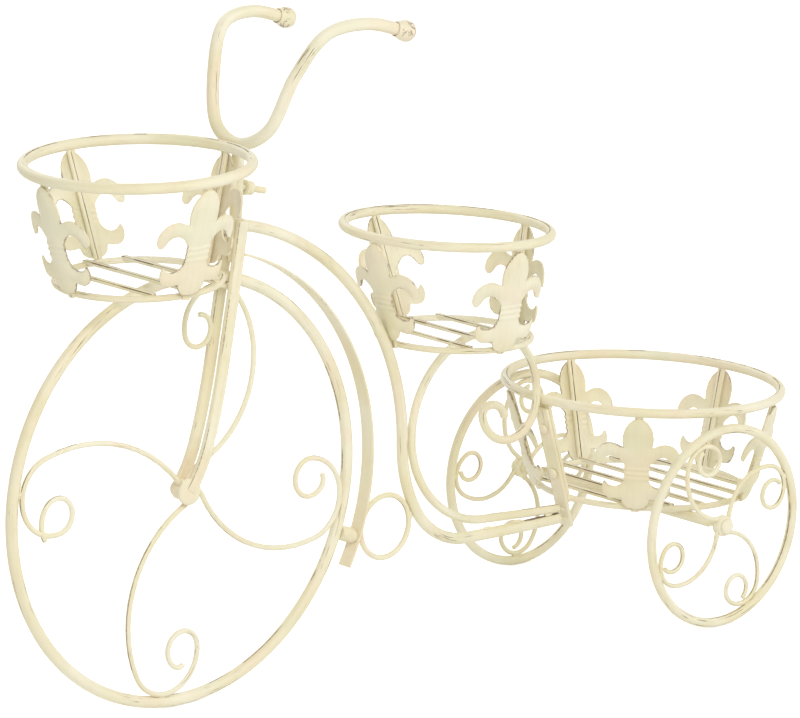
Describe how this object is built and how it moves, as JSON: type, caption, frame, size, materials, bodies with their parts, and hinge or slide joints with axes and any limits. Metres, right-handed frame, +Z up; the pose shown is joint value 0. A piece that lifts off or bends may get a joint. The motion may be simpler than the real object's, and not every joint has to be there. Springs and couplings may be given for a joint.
{
  "type": "flower cart stand",
  "caption": "Tricycle-shaped metal plant stand with pot baskets, fleur-de-lis plates and scrolled wheel spokes in worn cream paint.",
  "frame": {"origin": "middle of the stand's footprint, on the floor", "axes": "+X from the big front wheel to the rear axle, +Y across the stand to its left wheel, +Z up"},
  "size_m": [0.8122, 0.264, 0.555],
  "materials": {
    "painted_steel": "satin cream paint with gold-brown rubbed edges on bent rod and tube",
    "painted_sheet": "satin cream paint with brown rubbed edges on pressed sheet",
    "painted_fastener": "cream paint over bolts, nuts and spacers, worn to dull brown on the corners"
  },
  "bodies": {
    "stand": {"front_wheel_rim": "painted_steel", "front_wheel_hub": "painted_steel", "front_wheel_spoke_1": "painted_steel", "front_wheel_spoke_2": "painted_steel", "front_wheel_spoke_3": "painted_steel", "front_wheel_spoke_4": "painted_steel", "stem": "painted_steel", "fork_blade_right": "painted_steel", "fork_blade_left": "painted_steel", "head_bolt": "painted_fastener", "head_washer": "painted_fastener", "head_nut": "painted_fastener", "head_sleeve": "painted_fastener", "handlebar": "painted_steel", "right_grip_ball": "painted_steel", "left_grip_ball": "painted_steel", "mudguard": "painted_sheet", "mudguard_spacer": "painted_fastener", "scroll_loop": "painted_steel", "main_tube": "painted_steel", "arch_tube": "painted_steel", "front_basket_rim": "painted_steel", "front_basket_cage": "painted_steel", "front_basket_fleur_1": "painted_sheet", "front_basket_fleur_2": "painted_sheet", "front_basket_fleur_3": "painted_sheet", "front_basket_fleur_4": "painted_sheet", "middle_basket_rim": "painted_steel", "middle_basket_cage": "painted_steel", "middle_basket_fleur_1": "painted_sheet", "middle_basket_fleur_2": "painted_sheet", "middle_basket_fleur_3": "painted_sheet", "middle_basket_fleur_4": "painted_sheet", "rear_basket_rim": "painted_steel", "rear_basket_cage": "painted_steel", "rear_basket_fleur_1": "painted_sheet", "rear_basket_fleur_2": "painted_sheet", "rear_basket_fleur_3": "painted_sheet", "rear_basket_fleur_4": "painted_sheet", "rear_basket_fleur_5": "painted_sheet", "rear_basket_strap": "painted_steel", "strap_bolt_1": "painted_fastener", "strap_bolt_2": "painted_fastener", "rear_axle": "painted_steel", "right_axle_cap": "painted_fastener", "left_axle_cap": "painted_fastener"},
    "right_wheel": {"right_wheel_rim": "painted_steel", "right_wheel_hub": "painted_steel", "right_wheel_spoke_1": "painted_steel", "right_wheel_spoke_2": "painted_steel", "right_wheel_spoke_3": "painted_steel", "right_wheel_spoke_4": "painted_steel"},
    "left_wheel": {"left_wheel_rim": "painted_steel", "left_wheel_hub": "painted_steel", "left_wheel_spoke_1": "painted_steel", "left_wheel_spoke_2": "painted_steel", "left_wheel_spoke_3": "painted_steel", "left_wheel_spoke_4": "painted_steel"}
  },
  "joints": [
    {"name": "right_wheel_spin", "type": "hinge", "parent": "stand", "child": "right_wheel", "pos_m": [0.25922, -0.1244, 0.0875], "axis": [0, 1, 0], "continuous": true},
    {"name": "left_wheel_spin", "type": "hinge", "parent": "stand", "child": "left_wheel", "pos_m": [0.25922, 0.1244, 0.0875], "axis": [0, 1, 0], "continuous": true}
  ]
}
